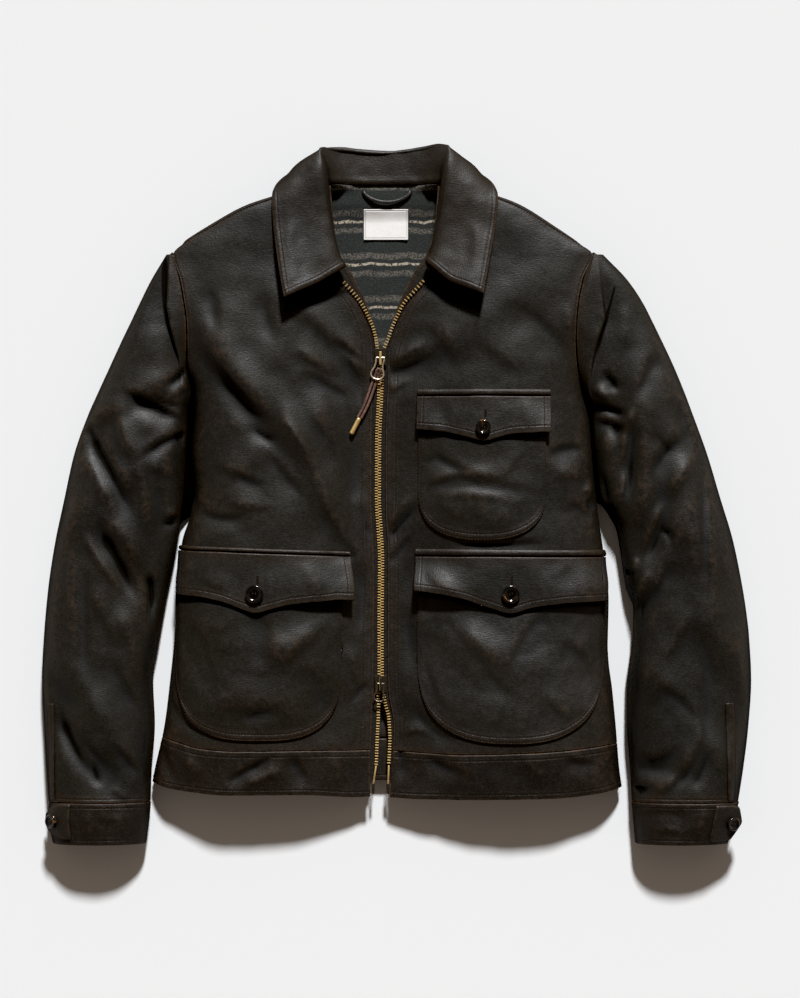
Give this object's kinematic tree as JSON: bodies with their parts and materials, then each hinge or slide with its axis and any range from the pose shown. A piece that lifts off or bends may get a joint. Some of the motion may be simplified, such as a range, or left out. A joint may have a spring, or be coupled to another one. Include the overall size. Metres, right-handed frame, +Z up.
{
  "type": "waxed cotton jacket",
  "caption": "Hip-length waxed cotton jacket laid flat on its back: fold-down collar, two-way front zip, flapped patch pockets, sleeves along its sides.",
  "frame": {"origin": "middle of the outline, on the surface that the jacket lies on", "axes": "+X towards the wearer's left sleeve, +Y towards the collar, +Z up off the surface"},
  "size_m": [0.7537, 0.7408, 0.0523],
  "materials": {
    "waxed_cotton": "waxed, soft sheen, browned along its edges",
    "lining": "brushed wool with woven stripes",
    "label": "plain woven tape",
    "zip_tape": "woven tape",
    "leather": "smooth, worn",
    "horn": "polished dark horn",
    "brass": "aged"
  },
  "bodies": {
    "jacket": {"back": "waxed_cotton", "band_back": "waxed_cotton", "band_left": "waxed_cotton", "band_right": "waxed_cotton", "button_chest": "horn", "button_cuff_left": "horn", "button_cuff_right": "horn", "button_lower_left": "horn", "button_lower_right": "horn", "collar": "waxed_cotton", "cuff_end_left": "waxed_cotton", "cuff_end_right": "waxed_cotton", "cuff_left": "waxed_cotton", "cuff_right": "waxed_cotton", "facing_left": "waxed_cotton", "facing_right": "waxed_cotton", "flap_chest": "waxed_cotton", "flap_lower_left": "waxed_cotton", "flap_lower_right": "waxed_cotton", "front_left": "waxed_cotton", "front_right": "waxed_cotton", "hanger_loop": "leather", "label": "label", "lining_back": "lining", "placket_left": "waxed_cotton", "placket_right": "waxed_cotton", "pocket_chest": "waxed_cotton", "pocket_lower_left": "waxed_cotton", "pocket_lower_right": "waxed_cotton", "sleeve_top_left": "waxed_cotton", "sleeve_top_right": "waxed_cotton", "sleeve_under_left": "waxed_cotton", "sleeve_under_right": "waxed_cotton", "slider_lower": "brass", "slider_upper": "brass", "welt_chest": "waxed_cotton", "welt_lower_left": "waxed_cotton", "welt_lower_right": "waxed_cotton", "zip_chain_left": "brass", "zip_chain_right": "brass", "zip_pin_left": "brass", "zip_pin_right": "brass", "zip_tape_left": "zip_tape", "zip_tape_right": "zip_tape"},
    "upper_pull": {"pull_upper": "brass", "lace": "leather", "lace_tip": "brass"},
    "lower_pull": {"pull_lower": "brass"}
  },
  "joints": [
    {"name": "upper_pull_swing", "type": "hinge", "parent": "jacket", "child": "upper_pull", "pos_m": [-0.0171, 0.14461, 0.0248], "axis": [-1, 0, 0], "range_deg": [0, 150]},
    {"name": "lower_pull_swing", "type": "hinge", "parent": "jacket", "child": "lower_pull", "pos_m": [-0.0169, -0.20039, 0.0248], "axis": [-1, 0, 0], "range_deg": [0, 150]}
  ]
}
